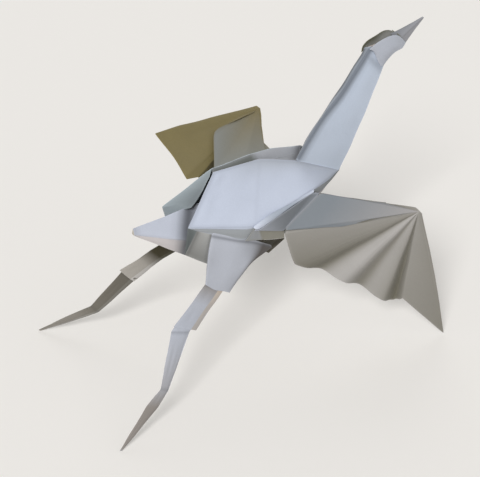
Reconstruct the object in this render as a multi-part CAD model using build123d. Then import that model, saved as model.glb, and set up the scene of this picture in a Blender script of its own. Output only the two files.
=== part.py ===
"""Origami crane folded from one sheet, standing on both toes and on the tip of its right wing.

The bird is laid out in its own axes, x to the beak, y to its left, z up from the middle of the
body. At the end it is turned as it stands and its box is centred over the origin, z = 0 below.
"""
import math
import os

import numpy as np
from build123d import *

# Walls: each is a stack of the one sheet pressed together
body_wall = 0.8
belt_wall = 1.2
neck_wall = 0.8
hood_wall = 0.7
wing_wall = 0.6
shank_wall = 1.8
shin_wall = 1.4

# Roof: the two flank panels that cover the body like a tent, the left one a little higher
rump = (-30.5, -1.0, 32.5)
shoulder = (6.0, -2.0, 32.0)
withers = (33.5, -7.5, 25.0)
chest = (73.0, -5.5, 4.0)
chest_inner = (77.0, -1.2, 0.8)
elbow = (38.0, -23.0, 7.5)
elbow_inner = (46.0, -20.0, 1.5)
flank = (-14.0, -26.5, -4.0)
hip = (-59.0, -14.0, 4.5)
near_back = (20.0, -4.8, 28.6)
far_rump = (-29.0, 3.0, 33.0)
far_shoulder = (1.5, 3.0, 34.5)
far_back = (19.0, 3.5, 33.5)
far_withers = (45.0, 3.5, 28.5)
far_hip = (-62.5, 14.0, 8.0)
far_hip_low = (-60.1, 15.0, -0.6)
valley = [(-30.0, 1.0, 26.0), (3.0, 0.8, 28.0), (20.0, 0.2, 26.5), (42.0, 0.0, 25.0)]

# Hem: the narrow edge of a flank panel, turned down over the belly, and the flap behind the thigh
hem_rear = (-53.0, -15.5, 1.0)
hem_notch = (-43.1, -18.4, -3.4)
hem_middle = (-20.0, -25.0, -13.5)
hem_front = (12.9, -24.0, -23.0)
hem_top = (12.8, -23.6, -17.6)
flap_rear = (-58.9, -8.5, -19.9)
flap_front = (-46.4, -16.9, -27.0)

# Hull: tail cone, belly and breast, below the roof
tail_tip_top = (-93.0, 0.0, 8.6)
tail_tip_low = (-93.2, -1.6, 3.8)
tail_ridge = (-49.0, 0.0, 11.5)
back_ridge = (0.0, 0.0, 15.0)
neck_root = (42.0, 0.0, 10.0)
tail_side = (-58.1, -11.1, -6.6)
belly_side = (-18.0, -25.4, -9.0)
wing_side = (34.0, -18.0, -3.0)
tail_keel = (-56.0, -2.5, -24.5)
thigh_keel = (-44.5, -12.0, -29.0)
belly_keel = (-5.0, -9.0, -32.0)
breast_keel = (40.0, -4.0, -22.0)
breast = (62.0, 0.0, -14.0)
prow = (77.0, 0.0, 0.0)

# Belt: the rolled edge of paper between a flank and its wing
belt_top = [(38.0, -23.0, 7.5), (17.0, -24.5, 4.5), (-0.5, -25.5, 2.0), (-14.2, -26.5, -1.9)]
belt_low = [(36.8, -24.0, 6.1), (19.6, -26.0, 2.6), (2.3, -28.0, -1.4), (-10.6, -28.0, -6.0)]
belt_end = (-14.3, -27.3, -5.7)

# Neck: side edges of the folded strip, seen from the right, and the fold on its far side
nape = [(33.5, -7.5, 25.0), (52.5, -5.0, 47.0), (74.5, -4.0, 65.0), (95.5, -3.0, 90.0),
        (98.3, -3.2, 93.6)]
far_nape = [(49.0, 3.0, 31.5), (62.5, 3.0, 47.5), (77.5, 3.0, 65.0), (94.5, 3.0, 86.0),
            (97.3, 3.2, 90.6)]
throat = [(73.0, -5.5, 4.0), (84.0, -3.0, 18.5), (97.5, -2.2, 44.0), (110.5, -2.2, 74.5),
          (113.1, -2.0, 79.5)]
tongue_reach = 1.3

# Hood of the head: its top and lower edges from the back to the front, and the beak
hood_top = [(96.3, -4.2, 92.2), (98.9, -4.6, 94.4), (103.4, -4.8, 96.5), (109.6, -4.6, 98.1),
            (116.9, -3.8, 98.1), (123.9, -2.6, 95.2)]
hood_low = [(100.4, -4.0, 90.0), (102.4, -3.8, 85.2), (105.3, -3.4, 79.7), (109.1, -3.0, 74.9),
            (113.3, -3.0, 79.1), (120.0, -2.6, 83.8)]
far_hood_top = [(95.5, 4.2, 87.3), (96.4, 4.6, 91.5), (101.0, 4.8, 94.6), (108.3, 4.8, 96.2),
                (114.8, 4.2, 99.0), (120.7, 2.6, 98.4)]
hood_nose = (130.8, -0.8, 87.7)
hood_lip = (127.5, -1.6, 84.6)
brow = (111.9, 0.0, 93.2)
jaw = (116.1, 0.0, 85.3)
beak_root_top = (116.9, 0.0, 97.4)
beak_root_low = (130.5, 0.0, 85.7)
beak_half_width = 2.0
beak_tip = (147.3, 0.0, 103.8)

# Legs: lengths, then pitch above the level and yaw to the left of each length and each crease,
# and half the width of the strip at the cuff, knee, shin, ankle, sole and toe
shank_length = 39.0
lower_leg_length = 41.0
foot_length = 49.5
near_leg = {"side": -1, "root": (-31.0, -15.0, -23.0), "hip": (-48.5, -29.5, -38.5),
            "aims": [(-25, -159), (-53, -153), (-33, -166)],
            "creases": [(-36, 0), (-22, 0), (-32, 0), (-30, 0)],
            "cuff": 9.0, "knee": 9.6, "shin": 7.6, "ankle": 3.5, "sole": 4.9, "toe": 0.8,
            "sleeve_front": 14.0, "sleeve_short": 0.0}
far_leg = {"side": 1, "root": (-38.0, 14.0, -22.0), "hip": (-61.3, 26.5, -38.2),
           "aims": [(-45.9, 116.8), (-50.6, 142.2), (-27.7, 141.1)],
           "creases": [(-48, 0), (-50, -12), (-48, -25), (-53, 0)],
           "cuff": 7.4, "knee": 8.2, "shin": 7.8, "ankle": 4.4, "sole": 4.6, "toe": 0.8,
           "sleeve_front": 8.0, "sleeve_short": 17.0}
sole_at = 0.30
shin_hidden = 6.0

# Thigh: a sleeve round the shank, its mouth cut like a cuff
thigh_top = [(-42.0, -18.0, -0.5), (-24.5, -23.0, -9.0), (-9.9, -24.2, -17.4), (7.2, -20.5, -29.6)]
near_thigh_middle = [(-50.0, -24.5, -18.5), (-34.0, -27.8, -24.5), (-19.5, -28.3, -30.5),
                     (-16.5, -25.8, -32.5)]
sleeve_rear = 9.5
sleeve_peak = 1.6
sleeve_depth = 6.5
sleeve_clearance = 0.5
tuck_rear = 5.0
tuck_front = 1.0

# Wings: the arm runs from the elbow to the wrist, the outer edge from the wrist to the tip
arm_length = 71.0
near_edge_length = 130.0
far_edge_length = 126.7
near_arm = (-7.3, -41.8)
near_edge = (-72.6, 4.4)
far_arm = (8.3, 70.2)
far_edge = (14.7, -159.2)
wing_front = (42.5, -23.0, 4.0)
near_root = (19.5, -22.5, -38.5)

# Rim of each fan, from the tip round the root and back: angle from the outer edge, length from
# the wrist as a share of the arm, because the fan grows with its arm, and lift of the crease
# towards the upper face. Pleats are rounded between their folds
near_pleats = [(16.3, 1.2268, -1), (18.9, 1.3577, -9), (26.1, 1.2662, -1), (37.8, 1.2099, -10),
               (50.1, 1.1690, -1.5), (62.3, 1.2282, -8), (72.4, 1.3239, -1), (76.6, 1.3662, 0)]
near_root_edge = [(83.9, 1.3408, 0), (95.3, 1.3366, 0.4), (109.6, 0.9620, -16.7)]
near_lead = [(109.4, 0.6648, -12.3), (112.6, 0.3282, -6.5), (119.1, 0.1845, -3.5),
             (151.8, 0.0592, -1), (-29, 0.0521, 0), (-6.4, 0.2423, 0), (-3.3, 0.5577, 0),
             (-2, 0.9127, 0), (-0.9, 1.3563, 0)]
near_layer = [(98, 1.3423, 1.8), (96.8, 1.0620, 1.6), (94.2, 0.7577, 1.5), (96.9, 0.4873, 1.4)]
far_pleats = [(4.9, 1.7789, -2.6), (10.4, 1.8324, -3.6), (16.4, 1.9761, -4), (17.4, 1.9972, -4.3),
              (19.4, 1.8577, -4)]
far_root_edge = [(22.3, 1.7690, -9), (32, 1.4014, 1), (50.9, 0.8070, 0)]
far_lead = [(44.3, 0.6845, 0), (42.5, 0.5944, 0), (56.1, 0.1141, 0), (-175.8, 0.0380, 0),
            (-118.1, 0.0577, 0), (-7.2, 0.3028, 0), (-3.1, 0.6676, 0), (-1.6, 1.0239, 0),
            (-1, 1.3648, 0)]
far_layer = [(31.2, 1.3761, 2.5), (22.5, 1.7197, 0.5), (11.8, 1.1225, 1.2), (10, 1.0465, 1.6),
             (9.1, 0.9394, 1.7), (9.5, 0.7859, 1.8), (11, 0.5268, 1.6), (13.9, 0.1746, 1.3)]
pleat_steps = 3
layer_gap = 1.3
rolled_steps = 3
near_wing_seat = [(30.0, -12.0, -4.0), (8.0, -14.0, -16.0)]
far_wing_seat = (33.0, 20.0, 8.0)


def aim(pitch, yaw):
    """Unit direction, pitch above the level and yaw to the bird's left, in degrees."""
    level = math.cos(math.radians(pitch))
    forward, left = math.cos(math.radians(yaw)), math.sin(math.radians(yaw))
    return np.array((level * forward, level * left, math.sin(math.radians(pitch))))


def unit(vector):
    return np.asarray(vector, float) / np.linalg.norm(vector)


def between(first, last, share):
    """The point a share of the way from the first to the last."""
    return tuple(float(a + share * (b - a)) for a, b in zip(first, last))


def other_side(points):
    """The same places across the middle plane of the bird."""
    return [(x, -y, z) for x, y, z in points]


def corner_steps(places, triangles):
    """For every corner, the step that lies one unit above each facet that meets there."""
    facing = {}
    for tri in triangles:
        a, b, c = (places[i] for i in tri)
        for i in tri:
            facing.setdefault(i, []).append(unit(np.cross(b - a, c - a)))
    steps = np.zeros_like(places)
    for i, normals in facing.items():
        mean = unit(np.sum(normals, axis=0))
        mitre = np.linalg.lstsq(np.array(normals), np.ones(len(normals)), rcond=0.25)[0]
        sharp = np.linalg.norm(mitre) > 1.8 or mitre @ mean < 0.6
        steps[i] = mean if sharp else mitre
    return steps


def folded(facets, wall):
    """Paper of an even wall along flat facets; facets that share a corner share the fold."""
    index, triangles = {}, []
    for facet in facets:
        ring = [index.setdefault(tuple(np.round(p, 4)), len(index)) for p in facet]
        triangles += [(ring[0], ring[i], ring[i + 1]) for i in range(1, len(ring) - 1)]
    places = np.array(list(index), float)
    steps = corner_steps(places, triangles) * wall / 2
    upper, lower = places + steps, places - steps
    edges = {(t[i], t[(i + 1) % 3]) for t in triangles for i in range(3)}
    skin = [[upper[i] for i in t] for t in triangles]
    skin += [[lower[i] for i in reversed(t)] for t in triangles]
    for a, b in sorted(edges):
        if (b, a) not in edges:
            skin.append([upper[b], upper[a], lower[a]])
            skin.append([upper[b], lower[a], lower[b]])
    return Solid(Shell([polygon(tri) for tri in skin]))


def polygon(points):
    return Face(Wire.make_polygon([Vector(*map(float, p)) for p in points], close=True))


def band(first_edge, second_edge):
    """Facets between two edges with the same number of corners."""
    return [(first_edge[i], second_edge[i], second_edge[i + 1], first_edge[i + 1])
            for i in range(len(first_edge) - 1)]


def turned_over(facets):
    return [tuple(reversed(facet)) for facet in facets]


def make_roof():
    """Both flank panels with hems and flaps, and the back sunk in a valley between them."""
    right = [(rump, hip, flank, shoulder), (shoulder, flank, elbow, withers, near_back),
             (withers, elbow, chest), (chest, elbow, elbow_inner, chest_inner),
             (hip, hem_rear, hem_notch, hem_middle, flank),
             (hem_notch, hem_rear, flap_rear, flap_front), (hem_rear, hip, flap_rear),
             (flank, hem_middle, hem_front, hem_top)]
    near_ridge = [rump, shoulder, near_back, withers]
    far_ridge = [far_rump, far_shoulder, far_back, far_withers]
    back = band(valley, near_ridge) + band(far_ridge, valley)
    l_chest, l_inner, l_elbow, l_elbow_inner = other_side([chest, chest_inner, elbow, elbow_inner])
    l_flank, l_rear, l_notch, l_middle, l_front, l_top, l_flap_rear, l_flap_front = other_side(
        [flank, hem_rear, hem_notch, hem_middle, hem_front, hem_top, flap_rear, flap_front])
    left = [(far_rump, far_shoulder, l_flank, far_hip),
            (far_shoulder, far_back, far_withers, l_elbow, l_flank),
            (far_withers, l_chest, l_elbow), (l_chest, l_inner, l_elbow_inner, l_elbow),
            (far_hip, l_flank, l_middle, l_notch, far_hip_low),
            (far_hip_low, l_notch, l_flap_front, l_flap_rear),
            (l_flank, l_top, l_front, l_middle)]
    return folded(right + back + left, body_wall)


def make_hull():
    """Tail cone, belly and breast; it stays open under the foot of the neck."""
    right = [(tail_tip_top, tail_tip_low, tail_side, tail_ridge),
             (tail_tip_low, tail_keel, tail_side),
             (tail_ridge, tail_side, belly_side, back_ridge),
             (back_ridge, belly_side, wing_side, neck_root),
             (tail_side, tail_keel, thigh_keel), (tail_side, thigh_keel, belly_keel, belly_side),
             (belly_side, belly_keel, breast_keel, wing_side),
             (wing_side, breast_keel, breast), (wing_side, breast, prow)]
    left = turned_over([tuple(other_side(facet)) for facet in right])
    keel = [tail_tip_low, tail_keel, thigh_keel, belly_keel, breast_keel]
    bottom = band(keel, other_side(keel))
    bottom += [(tail_tip_top, other_side([tail_tip_low])[0], tail_tip_low),
               (breast_keel, other_side([breast_keel])[0], breast)]
    return folded(right + left + bottom, body_wall)


def make_belt(side):
    """The rolled edge over the root of a wing, rounded at its rear end."""
    facets = band(belt_top, belt_low) + [(belt_top[-1], belt_low[-1], belt_end)]
    if side > 0:
        facets = turned_over([tuple(other_side(facet)) for facet in facets])
    return folded(facets, belt_wall)


def make_neck():
    """A strip folded along the nape, with the edge of its inner layer showing at the throat."""
    right = band(nape, throat)
    left = band(other_side(throat), far_nape)
    ridge = band(far_nape[1:], nape[1:]) + [(far_nape[0], nape[1], far_nape[1])]
    shell = folded(right + left + ridge, neck_wall)
    middle = [between(a, b, 0.5) for a, b in zip(nape, far_nape)] + [brow]
    lip = [(x + tongue_reach, 0.0, z) for x, y, z in throat] + [jaw]
    return [shell, folded(band(middle, lip), neck_wall)]


def make_hood():
    """Two cheeks joined at the forehead and the chin, open along the crown."""
    face = (hood_lip, hood_nose)
    right = band(hood_top, hood_low) + [(hood_top[-1], hood_low[-1], *face)]
    far_low, far_face = other_side(hood_low), other_side(face)
    left = band(far_low, far_hood_top) + [(far_hood_top[-1], *far_face[::-1], far_low[-1])]
    front = [(hood_top[-1], hood_nose, far_face[1], far_hood_top[-1])]
    chin = band([hood_low[-1], *face], [far_low[-1], *far_face])
    return [folded(right, hood_wall), folded(left, hood_wall), folded(front + chin, hood_wall)]


def make_beak():
    """A slim folded point; its root is held inside the hood."""
    middle = [(a + b) / 2 for a, b in zip(beak_root_top, beak_root_low)]
    near = (middle[0], -beak_half_width, middle[2])
    far = (middle[0], beak_half_width, middle[2])
    ring = [beak_root_top, near, beak_root_low, far]
    sides = [(ring[i], ring[(i + 1) % 4], beak_tip) for i in range(4)]
    return Solid(Shell([polygon(f) for f in sides] + [polygon(r) for r in
                 [(ring[0], ring[3], ring[2]), (ring[0], ring[2], ring[1])]]))


def leg_joints(leg):
    """Middles of the strip at the hip, knee, ankle, sole and toe."""
    places = [np.array(leg["hip"])]
    for length, angles in zip((shank_length, lower_leg_length, foot_length), leg["aims"]):
        places.append(places[-1] + length * aim(*angles))
    hip, knee, ankle, toe = places
    return hip, knee, ankle, ankle + sole_at * (toe - ankle), toe


def strip(middles, creases, half_widths, wall):
    """A flat strip through the middles, each crease as wide as given there."""
    rear = [tuple(m - w * c) for m, c, w in zip(middles, creases, half_widths)]
    front = [tuple(m + w * c) for m, c, w in zip(middles, creases, half_widths)]
    return folded(band(rear, front), wall)


def make_leg(leg):
    """The shank, and the shin and foot that come out of its lower end."""
    hip, knee, ankle, sole, toe = leg_joints(leg)
    at_hip, at_knee, at_ankle, at_sole = (aim(*angles) for angles in leg["creases"])
    shank = strip([np.array(leg["root"]), hip, knee], [at_hip, at_hip, at_knee],
                  [leg["cuff"], leg["cuff"], leg["knee"]], shank_wall)
    start = knee + shin_hidden * unit(hip - knee)
    gap = (leg["knee"] - leg["shin"]) * at_knee
    shin = strip([start - gap, knee - gap, ankle, sole, toe],
                 [at_knee, at_knee, at_ankle, at_sole, at_sole],
                 [leg["shin"], leg["shin"], leg["ankle"], leg["sole"], leg["toe"]], shin_wall)
    return [shank, shin]


def make_thigh(leg):
    """A flattened sleeve from the belly down to its cuff, wider in front."""
    hip, crease, front = np.array(leg["hip"]), aim(*leg["creases"][0]), leg["sleeve_front"]
    down, inward = unit(leg_joints(leg)[1] - hip), np.array((0.0, -leg["side"], 0.0))
    cuff = hip + leg["sleeve_short"] * unit(np.array(leg["root"]) - hip)
    outside = cuff - (shank_wall / 2 + sleeve_clearance) * inward
    mouth = [outside - sleeve_rear * crease, outside + sleeve_peak * down,
             outside + 2 / 3 * front * crease, outside + front * crease]
    if leg["side"] < 0:
        rows = [thigh_top, near_thigh_middle, mouth]
    else:
        top = other_side(thigh_top)
        rows = [top, [between(a, b, 0.5) for a, b in zip(top, mouth)], mouth]
    rings = []
    for row in rows:
        outer = [np.array(p) for p in row]
        inner = [p + sleeve_depth * inward for p in outer]
        inner[0] = inner[0] + tuck_rear * crease
        inner[-1] = inner[-1] - tuck_front * crease
        rings.append([tuple(map(float, p)) for p in (*outer, *inner[::-1], outer[0])])
    facets = band(rings[0], rings[1]) + band(rings[1], rings[2])
    return folded(turned_over(facets) if leg["side"] > 0 else facets, body_wall)


def fan_axes(wrist, tip, root):
    """Axes of a wing: along the outer edge, across it to the root, and up from its back."""
    along = unit(np.subtract(tip, wrist))
    inward = np.subtract(root, wrist)
    back = unit(np.cross(inward, along))
    across = np.cross(along, back)
    across = across if across @ inward > 0 else -across
    return along, across, back


def fan_points(wrist, axes, creases):
    along, across, back = axes
    points = []
    for angle, share, lift in creases:
        turn = math.radians(angle)
        flat = share * arm_length * (math.cos(turn) * along + math.sin(turn) * across)
        step = flat + lift * back
        points.append(tuple(np.array(wrist) + step))
    return points


def wing_frame(side, arm, edge, edge_length, root):
    """Wrist, tip and fan axes of a wing, its back turned up and outwards."""
    front = np.array(wing_front) * (1, -side, 1)
    wrist = front + arm_length * aim(*arm)
    tip = wrist + edge_length * aim(*edge)
    along, across, back = fan_axes(wrist, tip, front if root is None else root)
    if back @ np.array((0.0, min(side, 0), max(side, 0))) < 0:
        back = -back
    return wrist, tip, (along, across, back)


def rounded(creases):
    """The creases with softer ones between every two, their lift along a half wave."""
    rim = []
    for first, last in zip(creases, creases[1:]):
        for step in range(pleat_steps):
            passed = step / pleat_steps
            angle, share, lift = between(first, last, passed)
            swing = (1 - math.cos(math.pi * passed)) / 2 - passed
            rim.append((angle, share, lift + swing * (last[2] - first[2])))
    return rim + [creases[-1]]


def make_wing(wrist, tip, axes, trail, lead, layer, seat, skirt):
    """A fan round the wrist whose front edge folds back over it as a second layer. The seat is
    what the fan holds on to inside the body, and the skirt carries the layer up to the belt."""
    wrist = tuple(wrist)
    rim = [tuple(tip)] + fan_points(wrist, axes, trail + lead)
    facets = [(wrist, rim[i], rim[(i + 1) % len(rim)]) for i in range(len(rim))]
    front = len(trail)
    facets.append((rim[front], rim[front - 1], *seat))
    fold = rim[front:front + rolled_steps]
    up = unit(np.cross(np.subtract(rim[front - 1], wrist), np.subtract(rim[front], wrist)))
    up = up if up @ axes[2] > 0 else -up
    over = [tuple(np.array(p) + layer_gap * up) for p in fold]
    facets += band(over[::-1], fold[::-1])
    edge = over[::-1] + fan_points(wrist, axes, layer)
    facets += [(edge[0], edge[i], edge[i + 1]) for i in range(1, len(edge) - 1)]
    upper = [over[0], *skirt]
    facets += [(edge[rolled_steps], upper[i], upper[i + 1]) for i in range(len(upper) - 1)]
    return folded(facets, wing_wall)


def make_near_wing():
    wrist, tip, axes = wing_frame(-1, near_arm, near_edge, near_edge_length, near_root)
    trail = rounded(near_pleats) + near_root_edge
    wing = make_wing(wrist, tip, axes, trail, near_lead, near_layer, near_wing_seat[::-1],
                     belt_low + [belt_end])
    return wing, tip


def make_far_wing():
    wrist, tip, axes = wing_frame(1, far_arm, far_edge, far_edge_length, None)
    trail = far_pleats + far_root_edge
    return make_wing(wrist, tip, axes, trail, far_lead, far_layer, [far_wing_seat], [])


def stand(crane, near_tip):
    """Turn the bird so that both toes and the near wing tip lie on the floor, then centre it."""
    near_toe, far_toe = (leg_joints(leg)[-1] for leg in (near_leg, far_leg))
    up = unit(np.cross(near_tip - near_toe, far_toe - near_toe))
    forward = unit(np.array((1.0, 0.0, 0.0)) - up[0] * up)
    floor = Plane(origin=Vector(*near_toe), x_dir=Vector(*forward), z_dir=Vector(*up))
    standing = crane.moved(floor.location.inverse())
    box = standing.bounding_box()
    middle = box.center()
    return standing.moved(Location((-middle.X, -middle.Y, -box.min.Z)))


def make_crane():
    near_wing, near_tip = make_near_wing()
    pieces = [make_roof(), make_hull(), make_belt(-1), make_belt(1), *make_neck(), *make_hood(),
              make_beak(), make_thigh(near_leg), make_thigh(far_leg), *make_leg(near_leg),
              *make_leg(far_leg), near_wing, make_far_wing()]
    return pieces, near_tip


if __name__ == "__main__":
    pieces, near_tip = make_crane()
    sheet = pieces[0].fuse(*pieces[1:])
    os.makedirs("parts", exist_ok=True)
    export_step(stand(sheet, near_tip), "parts/folded_sheet.step")
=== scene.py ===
import bmesh
import bpy
import numpy as np
from mathutils import Matrix


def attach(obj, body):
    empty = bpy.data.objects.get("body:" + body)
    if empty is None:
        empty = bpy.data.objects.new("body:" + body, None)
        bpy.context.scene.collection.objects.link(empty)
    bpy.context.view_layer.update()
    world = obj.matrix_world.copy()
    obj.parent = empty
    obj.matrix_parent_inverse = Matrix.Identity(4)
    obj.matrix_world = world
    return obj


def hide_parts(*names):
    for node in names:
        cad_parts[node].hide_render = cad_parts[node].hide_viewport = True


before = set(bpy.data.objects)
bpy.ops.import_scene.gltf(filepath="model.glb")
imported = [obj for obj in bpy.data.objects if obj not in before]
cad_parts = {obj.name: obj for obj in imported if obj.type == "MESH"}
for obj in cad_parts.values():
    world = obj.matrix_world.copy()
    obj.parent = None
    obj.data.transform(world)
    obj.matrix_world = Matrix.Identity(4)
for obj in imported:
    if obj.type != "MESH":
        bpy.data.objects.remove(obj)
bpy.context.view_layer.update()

# The stance. The bird stands on both toes and on the tip of its right wing. Its own axes run x to the
# beak, y to its left and z up, in millimetres from the middle of the body, and it leans a little.
leg_lengths = (39.0, 41.0, 49.5)
near_hip, near_aims = (-48.5, -29.5, -38.5), [(-25, -159), (-53, -153), (-33, -166)]
far_hip, far_aims = (-61.3, 26.5, -38.2), [(-45.9, 116.8), (-50.6, 142.2), (-27.7, 141.1)]
wing_front = np.array((42.5, -23.0, 4.0))
arm_length, near_edge_length, far_edge_length = 71.0, 130.0, 126.7
near_arm, near_edge = (-7.3, -41.8), (-72.6, 4.4)
far_arm, far_edge = (8.3, 70.2), (14.7, -159.2)
body_middle = np.array((-1.713, -14.015, 125.014))


def aim(pitch, yaw):
    """Unit direction: cos(pitch) in the level at yaw to the left, sin(pitch) upwards."""
    pitch, yaw = np.radians(pitch), np.radians(yaw)
    return np.array((np.cos(pitch) * np.cos(yaw), np.cos(pitch) * np.sin(yaw), np.sin(pitch)))


def unit(vector):
    """The vector divided by its length."""
    return np.asarray(vector, float) / np.linalg.norm(vector)


def leg_joints(hip, aims):
    """Hip, knee, ankle and toe: the hip plus the running sum of length times direction."""
    reach = [length * aim(*angles) for length, angles in zip(leg_lengths, aims)]
    return np.array(hip) + np.cumsum([np.zeros(3), *reach], axis=0)


near_joints, far_joints = leg_joints(near_hip, near_aims), leg_joints(far_hip, far_aims)
near_wrist = wing_front + arm_length * aim(*near_arm)
near_tip = near_wrist + near_edge_length * aim(*near_edge)
far_wrist = wing_front * (1, -1, 1) + arm_length * aim(*far_arm)
far_tip = far_wrist + far_edge_length * aim(*far_edge)
stance_up = unit(np.cross(near_tip - near_joints[3], far_joints[3] - near_joints[3]))
stance_forward = unit(np.array((1.0, 0.0, 0.0)) - stance_up[0] * stance_up)
stance = np.array((stance_forward, np.cross(stance_up, stance_forward), stance_up))


def stood(points):
    """Places of the bird's own axes turned into its stance and set on the floor, in metres."""
    return (np.asarray(points, float) @ stance.T + body_middle) / 1000


# The camera looks from behind the bird's right side and from above, as far off as its picture
# shows by how much the near wing is larger than the far one.
camera_turn, camera_fall, camera_distance = 33.0, 33.0, 910.0
frame_right, frame_up = 7.0, 26.95
sight = aim(-camera_fall, 90.0 - camera_turn)
sight_right = aim(0.0, -camera_turn)
sight_up = np.cross(sight_right, sight)
camera_place = -(camera_distance * sight + frame_right * sight_right + frame_up * sight_up)
camera = bpy.data.objects.new("camera", bpy.data.cameras.new("camera"))
camera.data.sensor_width = 36.0
camera.data.lens = 97.5
camera.data.clip_start, camera.data.clip_end = 0.05, 30.0
turned = np.eye(4)
turned[:3, :3] = (stance @ np.array((sight_right, sight_up, -sight)).T)
turned[:3, 3] = stood(camera_place)
camera.matrix_world = Matrix(turned.tolist())
bpy.context.scene.collection.objects.link(camera)
bpy.context.scene.camera = camera


# The flank panels. Two broad panels of the sheet cover the body like a tent, white side out. Each
# is turned under along its lower edge, as a hem over the belly and as a lip at the chest.
rump, shoulder = (-30.5, -1.0, 32.5), (6.0, -2.0, 32.0)
withers, chest = (33.5, -7.5, 25.0), (73.0, -5.5, 4.0)
hip_corner, flank, elbow = (-59.0, -14.0, 4.5), (-14.0, -26.5, -4.0), (38.0, -23.0, 7.5)
hem_rear, hem_notch, hem_middle = (-53.0, -15.5, 1.0), (-43.1, -18.4, -3.4), (-20.0, -25.0, -13.5)
elbow_inner, chest_inner = (46.0, -20.0, 1.5), (77.0, -1.2, 0.8)
far_rump, far_shoulder = (-29.0, 3.0, 33.0), (1.5, 3.0, 34.5)
far_back, far_withers = (19.0, 3.5, 33.5), (45.0, 3.5, 28.5)
far_corner, far_corner_low = (-62.5, 14.0, 8.0), (-60.1, 15.0, -0.6)
notch_share, bend_share, hem_share = 0.3, 0.3, 0.16
panel_wall, edge_wear = 0.6, 1.1
white_face = (0.52, 0.565, 0.67)


def mirrored(points):
    """The same places on the other side of the bird: y changes its sign."""
    return np.asarray(points, float) * (1, -1, 1)


def between(first, last, share):
    """The place a share of the way from the first to the last."""
    return np.asarray(first, float) * (1 - share) + np.asarray(last, float) * share


def fold_samples(count, steps, ring):
    """Places along a row of corners, in corner numbers, closer together beside each fold:
    share - 0.11 sin(2 pi share) of the way through each facet."""
    share = np.linspace(0.0, 1.0, steps + 1)[:-1]
    share = share - 0.11 * np.sin(2 * np.pi * share)
    facets = count if ring else count - 1
    return np.append((np.arange(facets)[:, None] + share).ravel(), float(facets))


def hat_area(x):
    """Area under the hat function 1 - |x| up to x."""
    return np.where(x < 0, np.clip(x + 1, 0, None) ** 2 / 2, 1 - np.clip(1 - x, 0, None) ** 2 / 2)


def fold_weights(count, steps, soft, ring):
    """Each sample's share of each corner: the straight line between corners averaged over a window
    of half width soft, which rounds a fold to an arc and keeps the end corners where they are."""
    at = fold_samples(count, steps, ring)
    nearest = np.rint(at).astype(int) % count
    half = np.broadcast_to(soft, (count,))[nearest][:, None]
    if ring:
        x = (at[:, None] - np.arange(count) + count / 2) % count - count / 2
        return (hat_area(x + half) - hat_area(x - half)) / (2 * half)
    x = at[:, None] - np.arange(-1, count + 1)
    hats = (hat_area(x + half) - hat_area(x - half)) / (2 * half)
    weights = hats[:, 1:-1].copy()
    weights[:, :2] += np.outer(hats[:, 0], (2, -1))
    weights[:, -2:] += np.outer(hats[:, -1], (-1, 2))
    return weights


def grid_normals(places, rings):
    """Unit normals of a grid: the step down the rows crossed with the step along the columns,
    helped by the neighbours where the grid narrows to a corner or a point."""
    padded = places
    for axis in (0, 1):
        ends = (np.take(padded, [-2], axis), np.take(padded, [1], axis))
        if not rings[axis]:
            ends = (2 * np.take(padded, [0], axis) - ends[1], 2 * np.take(padded, [-1], axis) - ends[0])
        padded = np.concatenate((ends[0], padded, ends[1]), axis=axis)
    down = padded[2:, 1:-1] - padded[:-2, 1:-1]
    along = padded[1:-1, 2:] - padded[1:-1, :-2]
    normals = np.cross(down, along)
    for axis in (0, 1):
        normals = normals + 0.02 * (np.roll(normals, 1, axis) + np.roll(normals, -1, axis))
        point = np.ptp(places, axis=1 - axis).max(axis=-1) < 1e-4
        means = normals.mean(axis=1 - axis, keepdims=True)
        means = np.roll(means, 1, axis) + np.roll(means, -1, axis)
        chosen = point[:, None, None] if axis == 0 else point[None, :, None]
        normals = np.where(chosen, means, normals)
    return normals / np.linalg.norm(normals, axis=-1, keepdims=True)


def line_distance(places, line, axis):
    """How far each place is from one of the numbered grid lines, measured along the paper."""
    steps = np.linalg.norm(np.diff(places, axis=axis), axis=-1)
    start = np.zeros_like(np.take(steps, [0], axis))
    arc = np.concatenate((start, np.cumsum(steps, axis)), axis)
    return np.abs(arc - np.take(arc, [line], axis))


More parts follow.
